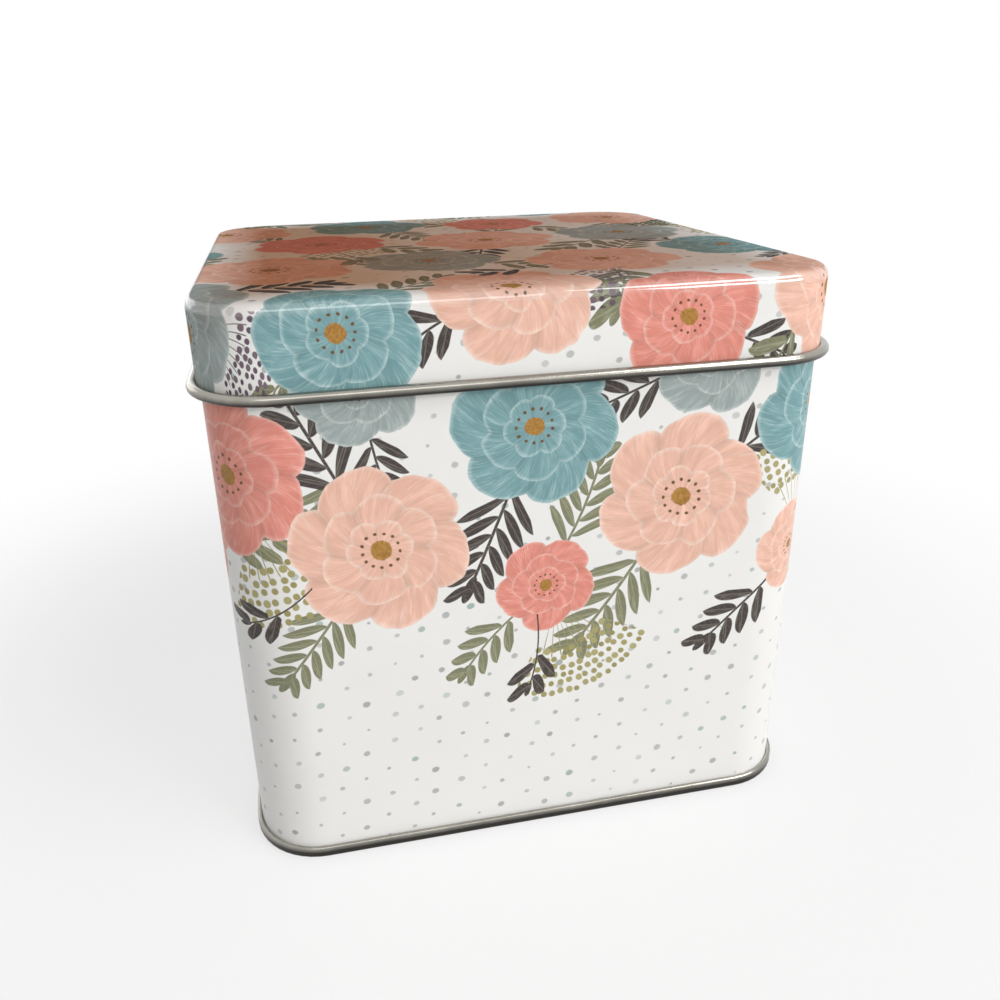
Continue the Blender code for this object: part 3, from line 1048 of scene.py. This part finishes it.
def printed(name, layers, tint_and_shade_half=None):
    """The whole print under its varnish. Sprays lie lowest, then dot heads, blossoms and twigs."""
    material, start, surface = new_material(name)
    flat = start.node("ShaderNodeUVMap", {"uv_map": "flat"})
    colour = ground(flat)
    for kind, drawing in DRAWINGS.items():
        for number in range(1, layers[kind] + 1):
            attribute = {"attribute_name": f"{kind}_{number}"}
            stored = start.node("ShaderNodeAttribute", attribute, None, "Vector")
            ink = start.node("ShaderNodeGroup", {"node_tree": drawing}, {"Place": stored}, "Colour")
            colour = blended(Ink(start.tree, ink.socket.node.outputs["Cover"]), colour, ink)
    # On the lid, the top gets a warm tint of the print with painted shade over its middle.
    if tint_and_shade_half:
        colour = glazed(colour, flat, tint_and_shade_half)
    place = start.node("ShaderNodeTexCoord", None, None, "Object")
    x, y, _ = flat.parts()
    rolled = noise(vector(x * 2600.0, y * 60.0), 1.0, 2.0)
    peel = noise(place, 1400.0, 2.0) * 0.5 + noise(place, 150.0, 2.0) * 2.5 + rolled * 0.35
    wire(surface, {
        "Base Color": colour,
        "Roughness": 0.24 + noise(place, 90.0, 4.0, 0.6) * 0.12 + rolled * 0.05,
        "Normal": bumped(start, 0.0000014, peel),
        "Coat Weight": varnish(place.parts()[2]),
        "Specular IOR Level": 0.0 if tint_and_shade_half else 0.05,
        "Coat IOR": COAT_IOR,
        "Coat Roughness": 0.04,
    })
    print(name, "has", len(material.node_tree.nodes), "nodes")
    return material


wall_print = printed("printed_wall", wall_layers)
lid_print = printed("printed_lid", lid_layers, WALL_WIDTH / 2)

# %% [markdown]
# ## Bare tinplate
#
# Where the sheet is curled or seamed, the tin coating itself shows. It is brighter than steel but
# never a clean mirror: rolling leaves fine lines along the curl and handling dulls it in patches.
# A brushed texture could come from an image, but noise that is stretched does the same and has no
# seams.

# %% Make bare tinplate
def tinplate():
    """Metal whose lines run round the box: noise with 1 step along them for every 100 across.

    The inside stays silvery. Outside, the metal is painted darker, as a stand-in for a dim room in its
    reflections, and the underside of a curl or seam is painted near black as shade, so there the colour
    climbs with the height above its lowest edge.
    Inside is where the reach, counted as for the profiles, is under that of the lid's skirt.
    """
    material, start, surface = new_material("bare_tinplate")
    place = start.node("ShaderNodeTexCoord", None, None, "Object")
    x, y, z = place.parts()
    lines = noise(vector(x * 60.0, y * 60.0, z * 6000.0), 1.0, 3.0, 0.6)
    patches = noise(place, 140.0, 4.0, 0.6)
    past = [(abs(part) - CORNER_CENTRE).larger(0.0) for part in (x, y)]
    reach = (past[0] * past[0] + past[1] * past[1]) ** 0.5
    inside = reach.below(LID_REACH, 0.0001)
    climb = z + (patches - 0.5) * 0.0004
    # Painted shade: these masks are 0 on the lower side of the base rim and of the lid's curl, where the
    # colour is painted near black, and 1 on the upper side.
    rim_upper_side = climb.above(0.0016, 0.0010).larger(z.above(0.0028, 0.0004))
    curl_upper_side = climb.above(LID_FOOT + 0.00095, 0.0009).larger(z.below(LID_FOOT - 0.0006, 0.0004))
    lit_upper_side = (rim_upper_side * curl_upper_side).larger(inside)
    silver = blended(patches, screen(194, 193, 188), screen(216, 215, 211))
    # Outside metal painted darker than the inside silver, a stand-in for a dim room in its reflections; its
    # patches are random tone.
    dimmed_outside = blended(patches, screen(142, 139, 130), screen(176, 173, 165))
    # The near black screen(60, 58, 55) is painted shade under the curls and seams.
    colour = blended(lit_upper_side, screen(60, 58, 55), blended(inside, dimmed_outside, silver))
    wire(surface, {
        "Base Color": colour,
        "Roughness": 0.10 + patches * 0.10 + lines * 0.06 + (1.0 - lit_upper_side) * 0.16,
        "Normal": bumped(start, 0.0000015, lines + patches),
        "Metallic": 1.0,
    })
    return material


bare_metal = tinplate()
print("bare tinplate is metallic, with lines along the curls")

# %% [markdown]
# ## From sheet to piece
#
# So far each piece is a surface with no thickness. Solidify gives it a quarter of a millimetre,
# half to each side, and puts the second material on the inner face, so that the print stays
# outside. The result is kept as a plain mesh, and edges sharper than a bend are left hard.

# %% Thicken the sheets and hand them to the bodies
SHARP = math.radians(35)


def thick(name, mesh, materials, body, node):
    """A finished piece: the sheet thickened, kept as a plain mesh, and put in its solid's place."""
    sheet = bpy.data.objects.new(name + "_sheet", mesh)
    bpy.context.scene.collection.objects.link(sheet)
    for material in materials:
        mesh.materials.append(material)
    wall = sheet.modifiers.new("sheet", "SOLIDIFY")
    wall.thickness = SHEET
    wall.offset = 0.0
    wall.use_even_offset = True
    wall.use_quality_normals = True
    wall.material_offset = wall.material_offset_rim = 1
    bpy.context.view_layer.update()
    whole = bpy.data.meshes.new_from_object(sheet.evaluated_get(bpy.context.evaluated_depsgraph_get()))
    bpy.data.objects.remove(sheet)
    whole.name = name
    whole.shade_smooth()
    whole.set_sharp_from_angle(angle=SHARP)
    piece = bpy.data.objects.new(name, whole)
    bpy.context.scene.collection.objects.link(piece)
    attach(piece, body)
    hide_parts(node)
    whole.calc_loop_triangles()
    print(name, "has", len(whole.loop_triangles), "triangles")


thick("drawn_lid", lid_sheet, [lid_print, bare_metal], "lid", "lid")
thick("seamed_wall", wall_sheet, [wall_print, bare_metal], "box", "body_wall")
thick("seamed_base", base_sheet, [bare_metal, bare_metal], "box", "base_plate")
